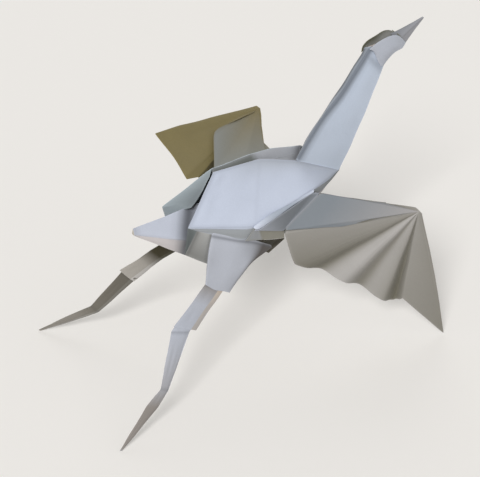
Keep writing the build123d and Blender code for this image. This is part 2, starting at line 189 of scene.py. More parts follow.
def paper(corners, steps=(10, 10), soft=(0.03, 0.05), rings=(False, False), puff=0.0, shading_and_browning=0.0,
          creases=((), ())):
    """Paper through a net of corners, rows by columns. The surface is the rows' weights times the
    corners times the columns' weights, and each facet is puffed by puff sin^2 sin^2 and by two slow
    waves, 0.16 and 0.12 mm high. The creases are the rows and columns of the net that carry a fold,
    or painted shade beside a fold or under an edge, each with its strength and its width: strength
    exp(-(d / width)^2). The edges wear by exp(-(d / edge_wear)^2). The shading and browning, given
    per corner and spread like the surface, blends the finish towards its second colour: painted
    shade on most pieces, painted light on some, browning on the inner paper."""
    corners = np.asarray(corners, float)
    rows = fold_weights(corners.shape[0], steps[0], soft[0], rings[0])
    columns = fold_weights(corners.shape[1], steps[1], soft[1], rings[1])
    places = np.einsum("su,uvk,tv->stk", rows, corners, columns)
    normals = grid_normals(places, rings)
    u = fold_samples(corners.shape[0], steps[0], rings[0])[:, None] % 1
    v = fold_samples(corners.shape[1], steps[1], rings[1])[None, :] % 1
    swell = puff * np.sin(np.pi * u) ** 2 * np.sin(np.pi * v) ** 2
    wave = 0.16 * np.sin(places @ (0.13, 0.07, 0.19)) + 0.12 * np.sin(places @ (-0.21, 0.16, 0.11) + 2.0)
    places = places + normals * (swell + wave)[..., None]
    # Crease marks: folds, and painted shade beside folds and under edges; rim marks: worn cut edges.
    fold, rim = np.zeros(places.shape[:2]), np.zeros(places.shape[:2])
    for axis in (0, 1):
        for line, strength, width in creases[axis]:
            worn = np.exp(-(line_distance(places, line * steps[axis], axis) / width) ** 2)
            fold = np.maximum(fold, strength * worn)
        for line in () if rings[axis] else (0, places.shape[axis] - 1):
            rim = np.maximum(rim, np.exp(-(line_distance(places, line, axis) / edge_wear) ** 2))
    shading_and_browning_map = np.einsum("su,uv,tv->st", rows, np.broadcast_to(shading_and_browning, corners.shape[:2]), columns)
    return places, normals, {"fold": fold, "rim": rim, "shading_and_browning": shading_and_browning_map}, rings


def sheet_mesh(name, places, faces, slots, marks):
    """A mesh in the bird's stance with its facets' materials and its marks along folds and edges;
    places that coincide at a corner or a seam are joined, and only real folds stay sharp."""
    mesh = bpy.data.meshes.new(name)
    mesh.from_pydata(stood(places.reshape(-1, 3)).tolist(), [], faces)
    mesh.polygons.foreach_set("material_index", np.asarray(slots, np.int32))
    for label, values in marks.items():
        mark = mesh.attributes.new(label, "FLOAT", "POINT")
        mark.data.foreach_set("value", np.asarray(values, np.float32).ravel())
    shape = bmesh.new()
    shape.from_mesh(mesh)
    bmesh.ops.remove_doubles(shape, verts=shape.verts, dist=2e-6)
    bmesh.ops.dissolve_degenerate(shape, edges=shape.edges, dist=1e-7)
    shape.to_mesh(mesh)
    shape.free()
    mesh.polygons.foreach_set("use_smooth", np.ones(len(mesh.polygons), bool))
    mesh.set_sharp_from_angle(angle=np.radians(42.0))
    mesh.update()
    piece = bpy.data.objects.new(name, mesh)
    bpy.context.scene.collection.objects.link(piece)
    return piece


def grid_faces(shape):
    """Number grid and quads of a grid of rows by columns, seen from the side of its normals."""
    index = np.arange(shape[0] * shape[1]).reshape(shape)
    quads = np.stack((index[:-1, :-1], index[1:, :-1], index[1:, 1:], index[:-1, 1:]), axis=-1)
    return index, quads.reshape(-1, 4)


def leaf(name, grid, wall):
    """A leaf of the sheet: the surface moved half a wall each way along its normals, and a rim of
    quads between the two. Slots: 0 on the side of the normals, 1 on the other, 2 on the rim."""
    places, normals, marks, rings = grid
    both = np.stack((places + normals * wall / 2, places - normals * wall / 2))
    index, quads = grid_faces(places.shape[:2])
    starts, ends = [], []
    if not rings[1]:
        starts += [index[:-1, 0], index[1:, -1]]
        ends += [index[1:, 0], index[:-1, -1]]
    if not rings[0]:
        starts += [index[-1, :-1], index[0, 1:]]
        ends += [index[-1, 1:], index[0, :-1]]
    start, end = np.concatenate(starts), np.concatenate(ends)
    rim = np.stack((end, start, start + index.size, end + index.size), axis=-1)
    faces = np.concatenate((quads, quads[:, ::-1] + index.size, rim))
    slots = np.repeat((0, 1, 2), (len(quads), len(quads), len(rim)))
    twice = {key: np.stack((value, value)) for key, value in marks.items()}
    return sheet_mesh(name, both, faces.tolist(), slots, twice)


def roll(name, grid, facet_slots=None):
    """A closed roll: the rows go round it and the columns run along it, and each end is a cap.
    Slots: 0 all round unless a facet has its own, and 2 on the caps."""
    places, normals, marks, rings = grid
    index, quads = grid_faces(places.shape[:2])
    caps = [index[:-1, 0][::-1].tolist(), index[:-1, -1].tolist()]
    slots = np.zeros(len(quads) + 2, int)
    if facet_slots is not None:
        per_facet = len(quads) // len(facet_slots)
        slots[:-2] = np.repeat(facet_slots, per_facet)
    slots[-2:] = 2
    return sheet_mesh(name, places, quads.tolist() + caps, slots, marks)


def paper_finish(name, colour, shading_and_browning_colour):
    """Folding paper: fibres as fine stretched noise, cloudy uneven tone, a blend towards a second
    colour by the shading and browning mark, which is painted shade or painted light on most pieces
    and browning on the inner paper, a dark line along each crease mark, partly fold soiling and
    partly painted shade, a paler line along each cut edge, and a felt-like bump."""
    material = bpy.data.materials.new(name)
    material.use_nodes = True
    nodes, links = material.node_tree.nodes, material.node_tree.links
    shader = nodes["Principled BSDF"]
    shader.inputs["Specular IOR Level"].default_value = 0.28
    shader.inputs["Sheen Weight"].default_value = 0.08

    def node(kind, **inputs):
        """A node with the given values on its sockets."""
        made = nodes.new("ShaderNode" + kind)
        for key, value in inputs.items():
            made.inputs[key.replace("_", " ")].default_value = value
        return made

    def noise(scale, detail, stretch=(1, 1, 1)):
        """Noise in the piece's own place, stretched along its axes."""
        place, turn = nodes.new("ShaderNodeTexCoord"), nodes.new("ShaderNodeMapping")
        turn.inputs["Scale"].default_value = stretch
        turn.inputs["Rotation"].default_value = (0.4, 0.7, 0.3)
        cloud = node("TexNoise", Scale=scale, Detail=detail, Roughness=0.6)
        links.new(place.outputs["Object"], turn.inputs["Vector"])
        links.new(turn.outputs["Vector"], cloud.inputs["Vector"])
        return cloud.outputs["Fac"]

    def mark(label):
        """A mark of the mesh, read as a number."""
        made = nodes.new("ShaderNodeAttribute")
        made.attribute_name = label
        return made.outputs["Fac"]

    def sum_of(first, factor, second):
        """first + factor x second."""
        made = nodes.new("ShaderNodeMath")
        made.operation = "MULTIPLY_ADD"
        made.inputs[1].default_value = factor
        links.new(second, made.inputs[0])
        if isinstance(first, float):
            made.inputs[2].default_value = first
        else:
            links.new(first, made.inputs[2])
        return made.outputs[0]

    def mixed(amount, first, second):
        """The second colour laid over the first by amount; a colour is a link or three numbers."""
        made = nodes.new("ShaderNodeMix")
        made.data_type = "RGBA"
        made.clamp_factor = True
        links.new(amount, made.inputs["Factor"])
        for key, value in (("A", first), ("B", second)):
            socket = [s for s in made.inputs if s.name == key and s.type == "RGBA"][0]
            if isinstance(value, tuple):
                socket.default_value = (*value, 1)
            else:
                links.new(value, socket)
        return [s for s in made.outputs if s.type == "RGBA"][0]

    def deeper(share):
        """The paper's own colour times a share."""
        return tuple(share * c for c in colour)

    clouds, fibres = noise(34.0, 4.0), noise(1500.0, 2.0, (1.0, 0.25, 1.0))
    specks = noise(420.0, 3.0)
    tone = mixed(sum_of(-0.6, 1.9, clouds), deeper(0.93), deeper(1.04))
    tone = mixed(sum_of(-0.75, 1.5, fibres), tone, deeper(1.12))
    tone = mixed(sum_of(-1.25, 1.9, specks), tone, deeper(0.86))
    # Blend to the second colour: mostly painted shade, some painted light, and browning on inner paper.
    shading_and_browning_amount = sum_of(sum_of(-0.06, 0.12, clouds), 1.0, mark("shading_and_browning"))
    tone = mixed(shading_and_browning_amount, tone, shading_and_browning_colour)
    # A dark line along each crease mark: fold soiling, and painted shade where it stands for a shadow.
    tone = mixed(sum_of(0.0, 0.9, mark("fold")), tone, deeper(0.2))
    tone = mixed(sum_of(0.0, 0.35, mark("rim")), tone, deeper(1.08))
    links.new(tone, shader.inputs["Base Color"])
    links.new(sum_of(0.54, 0.16, specks), shader.inputs["Roughness"])
    height = sum_of(sum_of(0.0, 0.35, fibres), 0.65, specks)
    height = sum_of(height, 2.2, noise(95.0, 3.0))
    height = sum_of(height, 1.4, mark("fold"))
    bump = node("Bump", Strength=0.35, Distance=0.00022)
    links.new(height, bump.inputs["Height"])
    links.new(bump.outputs["Normal"], shader.inputs["Normal"])
    return material


def dressed(piece, face, inside=None, edge=None):
    """Gives the piece the finishes of its face, its inside and its edge, each the face's own where
    none is named, and ties it to the sheet that it is a part of."""
    for finish in (face, inside or face, edge or face):
        piece.data.materials.append(finish)
    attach(piece, "root")
    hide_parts("folded_sheet")


ridge_line = [rump, between(rump, shoulder, notch_share), shoulder, withers, chest]
panel_line = [hip_corner, between(hip_corner, flank, notch_share), flank, elbow, chest]
hem_line = [hem_rear, hem_notch, hem_middle, elbow_inner, chest_inner]
near_flank = [ridge_line, between(ridge_line, panel_line, bend_share), panel_line,
              between(panel_line, hem_line, hem_share), hem_line]
# Painted shade: the panel darkens along its ridge towards the neck and on its turned-under hem, and dark
# lines along the ridge and the rear edge are painted shade; the faint lines are folds.
near_flank_shade = [(0.0, 0.1, 0.6, 0.6, 0.4), (0.0, 0.0, 0.0, 0.1, 0.4), (0.0, 0.0, 0.0, 0.0, 0.4),
                  (0.9, 0.9, 0.9, 0.9, 1.0), (1.0, 1.0, 1.0, 1.0, 1.0)]
near_flank_folds_and_shade = (((0, 0.35, 1.5), (2, 0.3, 0.8)), ((0, 0.35, 2.2), (2, 0.06, 1.5)))
near_flank_soft = ((0.05, 0.4, 0.05, 0.05, 0.05), 0.2)
flank_paper = paper_finish("flank_paper", white_face, (0.29, 0.305, 0.315))
inner_paper = paper_finish("inner_paper", (0.36, 0.35, 0.27), (0.33, 0.29, 0.17))
dressed(leaf("near_flank", paper(near_flank, (10, 14), near_flank_soft, puff=0.5, shading_and_browning=near_flank_shade,
                                 creases=near_flank_folds_and_shade), panel_wall),
        flank_paper, inner_paper)
white_paper = paper_finish("white_paper", white_face, (0.36, 0.37, 0.39))
far_flank_inside = paper_finish("far_flank_inside", (0.44, 0.49, 0.52), (0.36, 0.41, 0.43))
far_flank = [(far_corner_low, mirrored(hem_notch), mirrored(hem_middle), (20.0, 22.0, -6.0),
              mirrored(elbow_inner), mirrored(chest_inner)),
             (far_corner, between(far_corner, mirrored(flank), notch_share), mirrored(flank),
              (12.0, 25.0, 1.5), mirrored(elbow), mirrored(chest)),
             (far_rump, between(far_rump, far_shoulder, notch_share), far_shoulder, far_back,
              far_withers, mirrored(chest))]
# Painted shade: both faces of the far panel darken from its ridge down.
far_flank_shade = ((1.0,) * 6, (0.8,) * 6, (0.0,) * 6)
dressed(leaf("far_flank", paper(far_flank, (12, 14), (0.05, 0.07), puff=0.6, shading_and_browning=far_flank_shade,
                                creases=(((1, 0.2, 0.9),), ())), panel_wall),
        white_paper, far_flank_inside, far_flank_inside)

# The ends of the hems, the flaps and the inner folds. In front of the thigh the hem ends in a cream
# facet, grey at its rear, and both tones are painted darker as shade. Behind it the flaps hang inside
# the hem; the near flap is painted darker towards its lower edge and along its sides as shade, and
# the small facet beside it is painted dark as shade. A leaf behind the thigh's front edge is painted
# near black as the shade of the pocket there. A fold at the rump closes the rear end of the back's
# valley, painted darker along the near panel's rear edge as the shade in the slot.
hem_front, hem_top = (12.9, -24.0, -23.0), (12.8, -23.6, -17.6)
flap_rear, flap_front = (-58.9, -8.5, -19.9), (-46.4, -16.9, -27.0)
hem_seam_shares, hem_slant = (0.1, 0.18), 0.27
hem_shade_paper = paper_finish("hem_shade_paper", (0.25, 0.24, 0.20), (0.30, 0.31, 0.32))
pocket_shade_paper = paper_finish("pocket_shade_paper", (0.09, 0.075, 0.05), (0.01, 0.008, 0.001))
rump_paper = paper_finish("rump_paper", (0.30, 0.345, 0.37), (0.16, 0.18, 0.19))
flap_paper = paper_finish("flap_paper", (0.40, 0.40, 0.39), (0.17, 0.17, 0.16))
flap_side_shade_paper = paper_finish("flap_side_shade_paper", (0.16, 0.18, 0.18), (0.05, 0.06, 0.06))
hem_seam = [(between(flank, hem_top, share), between(hem_middle, hem_front, share + hem_slant))
            for share in hem_seam_shares]
hem_end = [(flank, hem_seam[0][0], hem_seam[1][0], hem_top),
           (hem_middle, hem_seam[0][1], hem_seam[1][1], hem_front)]
flap = [(hem_rear, hem_notch), (flap_rear, flap_front)]
far_flap = [(mirrored(hem_notch), far_corner_low), (mirrored(flap_front), mirrored(flap_rear))]
flap_side = [(hip_corner, hem_rear), (flap_rear, flap_rear)]
pocket = [((-13.8, -23.6, -16.6), (7.2, -23.0, -22.7), (13.4, -23.6, -23.9)),
          ((-8.4, -20.5, -26.7), (-0.1, -19.5, -32.0), (3.3, -19.0, -35.0))]
rump_fold = [((-32.3, 1.0, 28.4), (-38.9, -1.0, 21.3), (-45.9, -4.0, 16.5), (-51.6, -6.0, 14.0)),
             (far_rump, between(far_rump, far_corner, 0.5), far_corner, far_corner_low)]
flap_shade = ((), ((0, 1.0, 2.0), (1, 1.0, 1.6)))
for name, net, finish, shading_and_browning, creases in (
        ("hem_end", hem_end, hem_shade_paper, ((1.0, 1.0, 0.0, 0.0), (1.0, 1.0, 0.1, 0.1)), ((), ())),
        ("far_hem_end", mirrored(hem_end)[::-1], hem_shade_paper, 0.3, ((), ())),
        ("near_flap", flap, flap_paper, ((0.4, 0.0), (1.0, 0.8)), flap_shade),
        ("far_flap", far_flap, flap_paper, 0.3, ((), ())),
        ("flap_side", flap_side, flap_side_shade_paper, ((0.5, 0.1), (0.9, 0.9)), ((), ())),
        ("pocket", pocket, pocket_shade_paper, ((1.0, 1.0, 1.0), (1.0, 0.6, 0.2)), ((), ())),
        ("rump_fold", rump_fold, rump_paper, ((0.6, 1.0, 1.0, 0.6), (0.3, 0.0, 0.0, 0.1)), ((), ()))):
    dressed(leaf(name, paper(net, (8, 10), puff=0.3, shading_and_browning=shading_and_browning, creases=creases), panel_wall),
            finish, inner_paper)

# The back. Between the two panels the sheet is pushed down into a narrow valley, so that the far
# panel's inner side shows above the near panel's ridge. Its rear part is painted darker as shade,
# and a dark band at its front end is painted shade by the neck's root.
valley_rear, valley_shoulder = (-30.0, 1.0, 26.0), (3.0, 0.8, 28.0)
valley_back, valley_front = (20.0, 0.2, 26.5), (42.0, 0.0, 25.0)
far_ridge = [far_rump, far_shoulder, between(far_shoulder, far_back, bend_share), far_back, far_withers]
valley = [valley_rear, valley_shoulder, between(valley_shoulder, valley_back, bend_share), valley_back,
          valley_front]
near_ridge = [rump, shoulder, between(shoulder, withers, 0.15), between(shoulder, withers, 0.51),
              withers]
back = [far_ridge, valley, near_ridge]
back_paper = paper_finish("back_paper", (0.37, 0.38, 0.41), (0.165, 0.175, 0.165))
back_shade = [(0.9, 1.0, 0.0, 0.0, 0.0), (1.0, 1.0, 0.3, 0.2, 0.2), (0.0, 0.0, 0.0, 0.0, 0.2)]
dressed(leaf("back", paper(back, (8, 12), (0.06, 0.06), puff=0.4, shading_and_browning=back_shade,
                           creases=((), ((4, 1.0, 5.0),))), panel_wall), back_paper, inner_paper)

# The hull. Tail cone, belly and breast are one closed fold of the sheet under the panels: white
# above the side crease, and painted lighter and pinker below it as the light on the underside. Two
# dark bands across it by the panels' rear edges are their painted shadow. The tail is cut off blunt.
hull_ridge = [(-93.0, 0.0, 8.6), (-49.0, 0.0, 11.5), (-34.3, 0.0, 12.6), (0.0, 0.0, 15.0),
              (42.0, 0.0, 10.0), (77.0, 0.0, 0.0)]
hull_side = [(-93.15, -1.5, 4.6), (-58.1, -11.1, -6.6), (-46.7, -15.3, -7.3), (-18.0, -25.4, -9.0),
             (34.0, -18.0, -3.0), (77.0, 0.0, 0.0)]
hull_keel = [(-93.2, -1.3, 3.9), (-56.0, -2.5, -24.5), (-44.5, -12.0, -29.0), (-5.0, -9.0, -32.0),
             (40.0, -4.0, -22.0), (62.0, 0.0, -14.0)]
# The underside's painted light starts this share of the way from the side crease to the keel.
underside_light_share = 0.12
hull_below = between(hull_side, hull_keel, underside_light_share)
hull = np.array([hull_ridge, hull_side, hull_below, hull_keel, mirrored(hull_keel),
                 mirrored(hull_below), mirrored(hull_side)])
hull_paper = paper_finish("hull_paper", (0.51, 0.54, 0.62), (0.64, 0.60, 0.60))
edge_paper = paper_finish("edge_paper", (0.60, 0.56, 0.50), (0.45, 0.38, 0.30))
hull_underside_light = np.repeat((0.0, 0.0, 0.9, 1.0, 1.0, 0.9, 0.0), 6).reshape(7, 6)
hull_folds_and_shadow = (((1, 0.12, 0.8), (6, 0.12, 0.8)), ((0, 0.35, 3.0), (1, 1.0, 6.5), (2, 1.0, 5.0)))
dressed(roll("hull", paper(hull, (9, 12), (0.04, 0.04), (True, False), puff=0.4, shading_and_browning=hull_underside_light,
                           creases=hull_folds_and_shadow)), hull_paper, inner_paper, edge_paper)

# The belts. Over each wing root the panel's edge is rolled up into a bright narrow belt, which
# ends rounded at the flank.
belt_top = [(38.0, -23.0, 7.5), (17.0, -24.5, 4.5), (-0.5, -25.5, 2.0), (-13.6, -26.5, -1.9)]
belt_low = [(36.8, -24.0, 6.1), (19.6, -26.0, 2.6), (2.3, -28.0, -1.4), (-10.6, -28.0, -6.0)]
belt_end = np.array((-14.3, -27.3, -5.7))
belt_bulge, belt_end_lift, belt_end_share = 0.9, 1.6, 0.6


def belt_ring(top, low, end, out):
    """Top edge, crown, lower edge and root of the belt at each station; the crown is the middle
    moved out by the bulge, and the last station is drawn in to the belt's end."""
    top, low = np.array(top), np.array(low)
    middle = (top + low) / 2
    ring = np.array((top, middle + belt_bulge * out, low, middle - belt_bulge * out))
    last = end + (0.0, 0.0, belt_end_lift) + belt_end_share * (ring[:, -1:] - ring[:, -1:].mean(axis=0))
    return np.concatenate((ring, last), axis=1)


near_belt = belt_ring(belt_top, belt_low, belt_end, np.array((0.0, -0.97, 0.25)))
belt_finish = dict(steps=(8, 10), soft=((0.3, 0.45, 0.3, 0.3), 0.3), rings=(True, False))
belt_paper = paper_finish("belt_paper", (0.58, 0.62, 0.72), (0.28, 0.32, 0.37))
# Painted shade: the belt is darker along the middle of its length.
belt_shade = (0.1, 0.8, 0.7, 0.0, 0.0)
for name, ring in (("near_belt", near_belt), ("far_belt", mirrored(near_belt)[::-1])):
    dressed(roll(name, paper(ring, shading_and_browning=belt_shade, **belt_finish)), belt_paper, inner_paper)

# The neck. A long strip folded in two along the nape, open at the throat, where the edges of a
# tongue of inner layers show a little and have browned. Painted shade darkens the far half, lies
# in broad bands on both sides of the nape and across the neck by the cheek's rear edge.
nape = [(33.5, -7.5, 25.0), (52.5, -5.0, 47.0), (74.5, -4.0, 65.0), (95.5, -3.0, 90.0),
        (98.3, -3.2, 93.6)]
far_nape = [(49.0, 3.0, 31.5), (62.5, 3.0, 47.5), (77.5, 3.0, 65.0), (94.5, 3.0, 86.0),
            (97.3, 3.2, 90.6)]
throat = [(73.0, -5.5, 4.0), (84.0, -3.0, 18.5), (97.5, -2.2, 44.0), (110.5, -2.2, 74.5),
          (113.1, -2.0, 79.5)]
brow, jaw = (111.9, 0.0, 93.2), (116.1, 0.0, 85.3)
neck_wall, tongue_reach = 0.7, 1.3
neck = [mirrored(throat), far_nape, nape, throat]
neck_shade = [[0.2] * 5, [1.0] * 5, (0.2, 0.1, 0.0, 0.0, 0.0), (0.2, 0.1, 0.1, 0.1, 0.1)]
neck_paper = paper_finish("neck_paper", (0.57, 0.64, 0.76), (0.30, 0.31, 0.30))
dressed(leaf("neck", paper(neck, (10, 14), (0.05, 0.3), puff=0.5, shading_and_browning=neck_shade,
                           creases=(((1, 0.95, 5.0), (2, 0.95, 3.6)), ((3, 0.4, 3.0),))), neck_wall),
        neck_paper, inner_paper)
tongue_middle = [*((np.array(nape) + far_nape) / 2), brow]
tongue_lip = [*(np.array(throat) * (1, 0, 1) + (tongue_reach, 0, 0)), jaw]
tongue_paper = paper_finish("tongue_paper", (0.56, 0.50, 0.47), (0.45, 0.38, 0.32))
dressed(leaf("neck_tongue", paper([tongue_middle, tongue_lip], (8, 12), (0.05, 0.2), shading_and_browning=0.4),
             neck_wall), tongue_paper)

# The head. A hood of two cheeks, joined at the forehead and the chin and open along the crown,
# sits over the top of the neck and holds the folded beak. The far cheek's inside is grey, painted
# olive-black at the crown's rear as shade; the dark edges of the far cheek and the forehead are
# painted shade. The near cheek is painted darker towards its rear, and the beak's upper and far
# facets darker towards the root, as shade.
hood_top = [(96.3, -4.2, 92.2), (98.9, -4.6, 94.4), (103.4, -4.8, 96.5), (109.6, -4.6, 98.1),
            (116.9, -3.8, 98.1), (123.9, -2.6, 95.2)]
hood_low = [(100.4, -4.0, 90.0), (102.4, -3.8, 85.2), (105.3, -3.4, 79.7), (109.1, -3.0, 74.9),
            (113.3, -3.0, 79.1), (120.0, -2.6, 83.8)]
far_hood_top = [(95.5, 4.2, 87.3), (96.4, 4.6, 91.5), (101.0, 4.8, 94.6), (108.3, 4.8, 96.2),
                (114.8, 4.2, 99.0), (120.7, 2.6, 98.4)]
hood_nose, hood_lip = (130.8, -0.8, 87.7), (127.5, -1.6, 84.6)
hood_wall = 0.6
cheek_bulge = np.array((0.2, 0.8, 1.2, 1.4, 1.4, 1.0, 0.0))


def cheek(top, low, side):
    """Three rows from the crown to the chin; the middle one stands out by the bulge."""
    top, low = np.array(top, float), np.array(low, float)
    out = np.outer(cheek_bulge, (0.0, side, 0.0))
    return np.array((top, (top + low) / 2 + out, low))


near_cheek = cheek([*hood_top, hood_nose], [*hood_low, hood_lip], -1)
far_cheek = cheek([*far_hood_top, mirrored(hood_nose)], [*mirrored(hood_low), mirrored(hood_lip)], 1)
cheek_finish = dict(steps=(9, 9), soft=(0.45, 0.45))
hood_inside_and_shade = paper_finish("hood_inside_and_shade", (0.09, 0.088, 0.05), (0.34, 0.34, 0.32))
hood_paper = paper_finish("hood_paper", (0.50, 0.53, 0.60), (0.36, 0.37, 0.40))
near_cheek_shade = [(0.8, 0.6, 0.2, 0.1, 0.1, 0.3, 0.4), (0.7, 0.3, 0.0, 0.0, 0.0, 0.0, 0.2), [0.2] * 7]
dressed(leaf("near_cheek", paper(near_cheek, **cheek_finish, shading_and_browning=near_cheek_shade), hood_wall),
        hood_paper, hood_inside_and_shade)
far_cheek_shade = [[1.5] * 7, [1.5] * 7, (0.0, 0.0, 0.0, 0.2, 0.6, 0.9, 1.0)]
dressed(leaf("far_cheek", paper(far_cheek[::-1], **cheek_finish, shading_and_browning=far_cheek_shade), hood_wall),
        hood_paper, hood_inside_and_shade, hood_inside_and_shade)
forehead = [(far_hood_top[-1], hood_top[-1]), (mirrored(hood_nose), hood_nose)]
chin = [(mirrored(corner), corner) for corner in (hood_nose, hood_lip, hood_low[-1])]
dressed(leaf("forehead", paper(forehead, (8, 4), shading_and_browning=0.3), hood_wall), hood_paper, hood_inside_and_shade,
        hood_inside_and_shade)
dressed(leaf("chin", paper(chin, (6, 4), shading_and_browning=0.3), hood_wall), hood_paper, hood_inside_and_shade)
beak_root = [(116.9, 0.0, 97.4), (123.7, -2.0, 91.5), (130.5, 0.0, 85.7), (123.7, 2.0, 91.5)]
beak_tip, beak_point = np.array((148.3, 0.0, 104.0)), 0.08
beak = np.array(beak_root)[:, None] * np.array((1, beak_point))[None, :, None]
beak += beak_tip * np.array((0, 1 - beak_point))[None, :, None]
beak_paper = paper_finish("beak_paper", (0.345, 0.345, 0.37), (0.20, 0.215, 0.235))
beak_shade = [(0.8, 0.3), (0.3, 0.1), (0.0, 0.0), (0.6, 0.3)]
dressed(roll("beak", paper(beak, (6, 16), (0.05, 0.05), (True, False), shading_and_browning=beak_shade,
                           creases=(((1, 0.25, 0.5),), ((0, 0.7, 1.0),)))), beak_paper, inner_paper)

# The thighs. Each is a flattened sleeve that comes out of the belly; its cut mouth, the cuff, is a
# little pointed, and the shank comes out of it. The far one is shorter. A dark line across the top
# of each is the hem's painted shadow; the near one's front is painted darker as shade, and the far
# one, under the tail, is painted dark all over as shade.
sleeve_rear, sleeve_peak, sleeve_depth, sleeve_offset = 9.5, 1.6, 6.5, 1.4
tuck_rear, tuck_front = 5.0, 1.0
far_sleeve_short = 17.0
# The hem's shadow ends at these shares of the way down the sleeve's face, corner by corner.
hem_shade_shares = (0.17, 0.14, 0.03, 0.0)
thigh_top = [(-42.0, -18.0, -0.5), (-24.5, -23.0, -9.0), (-9.9, -24.2, -17.4), (7.2, -20.5, -29.6)]
near_thigh_middle = [(-50.0, -24.5, -18.5), (-34.0, -27.8, -24.5), (-19.5, -28.3, -30.5),
                     (-16.5, -25.8, -32.5)]


def sleeve(cuff, crease, down, side, front, top, middle=None):
    """The sleeve's outer face from top to mouth, and the same face a sleeve's depth further in,
    joined into a ring. The mouth lies along the crease, its point at the cuff's middle."""
    inward = np.array((0.0, -side, 0.0))
    across = np.array((-sleeve_rear, 0.0, 2 / 3 * front, front))[:, None] * crease
    mouth = cuff - sleeve_offset * inward + across
    mouth = mouth + np.array((0.0, sleeve_peak, 0.0, 0.0))[:, None] * down
    middle = np.array(between(top, mouth, 0.5) if middle is None else middle)
    shade = np.array(top) + np.array(hem_shade_shares)[:, None] * (middle - top)
    outer = np.array((top, shade, middle, mouth))
    tuck = np.array((tuck_rear, 0.0, 0.0, -tuck_front))[:, None] * crease
    inner = outer + sleeve_depth * inward + tuck
    ring = np.concatenate((outer, inner[:, ::-1]), axis=1)
    return ring if side < 0 else ring[:, ::-1]


near_root, far_root = (-31.0, -15.0, -23.0), (-38.0, 14.0, -22.0)
far_cuff = np.array(far_hip) + far_sleeve_short * unit(np.subtract(far_root, far_hip))
near_sleeve = sleeve(np.array(near_hip), aim(-36, 0), aim(*near_aims[0]), -1, 14.0, thigh_top,
                     near_thigh_middle)
far_sleeve = sleeve(far_cuff, aim(-48, 0), aim(*far_aims[0]), 1, 8.0, mirrored(thigh_top))
sleeve_finish = dict(steps=(12, 9), soft=(0.25, (0.1, 0.3, 0.3, 0.1, 0.1, 0.3, 0.3, 0.1)),
                     rings=(False, True), puff=0.3, creases=(((1, 0.6, 1.2),), ()))
thigh_paper = paper_finish("thigh_paper", (0.455, 0.475, 0.53), (0.10, 0.09, 0.085))
near_sleeve_shade = [(0.0, 0.0, 0.4, 2.0, 1.0, 0.6, 0.4, 0.2), (0.0, 0.0, 0.4, 2.0, 1.0, 0.6, 0.4, 0.2),
                   (0.2, 0.0, 0.0, 1.0, 1.0, 0.4, 0.4, 0.3), (0.0, 0.0, 0.0, 0.2, 0.4, 0.4, 0.4, 0.3)]
dressed(leaf("near_thigh", paper(near_sleeve, **sleeve_finish, shading_and_browning=near_sleeve_shade), panel_wall),
        thigh_paper, inner_paper)
dressed(leaf("far_thigh", paper(far_sleeve, **sleeve_finish, shading_and_browning=0.9), panel_wall),
        thigh_paper, inner_paper)

# The legs. Shank and shin are strips of many layers pressed flat, with a raised crease along the
# front and browned edges of the layers along one side of the near shank; on the far leg that side
# is painted lighter as light, and the near shin's other side is painted darker as shade. The shanks
# are painted dark at the root as the shade under the thighs, the near shin darkens towards the foot
# and the far shin all along, as painted shade. The shin comes out of the shank's end.
sole_share, shin_hidden, shade_share = 0.30, 6.0, 0.4
shank_thickness, shin_thickness, full_thickness_half = 1.0, 0.75, 3.0
leg_out = np.array((-0.4, -0.7, 0.55))
strip_profile = [(-1.0, 0.0), (-0.3, 0.75), (0.45, 1.0), (1.0, 0.1), (0.6, -0.9), (-0.5, -0.9)]
leg_paper = paper_finish("leg_paper", (0.48, 0.505, 0.57), (0.27, 0.245, 0.225))
leg_side_paper = paper_finish("leg_side_paper", (0.47, 0.44, 0.42), (0.60, 0.51, 0.42))
leg_shade_paper = paper_finish("leg_shade_paper", (0.22, 0.225, 0.235), (0.18, 0.165, 0.155))
far_leg_paper = paper_finish("far_leg_paper", (0.41, 0.385, 0.35), (0.035, 0.028, 0.010))
far_leg_painted_light_paper = paper_finish("far_leg_painted_light_paper", (0.55, 0.53, 0.51), (0.05, 0.045, 0.02))
near_leg = dict(creases=[(-36, 0), (-30, 0), (-22, 0), (-32, 0), (-30, 0)],
                halves=dict(cuff=9.0, knee=10.0, shin=7.6, ankle=3.5, sole=4.9, toe=0.8), slide=2.0,
                cut=2.6, shank_shade=(1.0, 0.9, 0.1, 0.0), shin_shade=(0.0, 0.0, 0.5, 1.0, 1.0),
                shin_slots=(2, 0, 0, 0, 0, 0), finishes=(leg_paper, leg_side_paper, leg_shade_paper))
far_leg = dict(creases=[(-48, 0), (-50, -12), (-50, -12), (-48, -25), (-53, 0)],
               halves=dict(cuff=7.4, knee=8.2, shin=6.8, ankle=4.2, sole=4.5, toe=0.8), slide=-0.7,
               cut=0.0, shank_shade=(1.0, 1.0, 0.15, 0.0), shin_shade=(0.74, 0.74, 0.68, 0.45, 0.45),
               shin_slots=(2, 0, 1, 0, 0, 0), finishes=(far_leg_paper, far_leg_painted_light_paper))


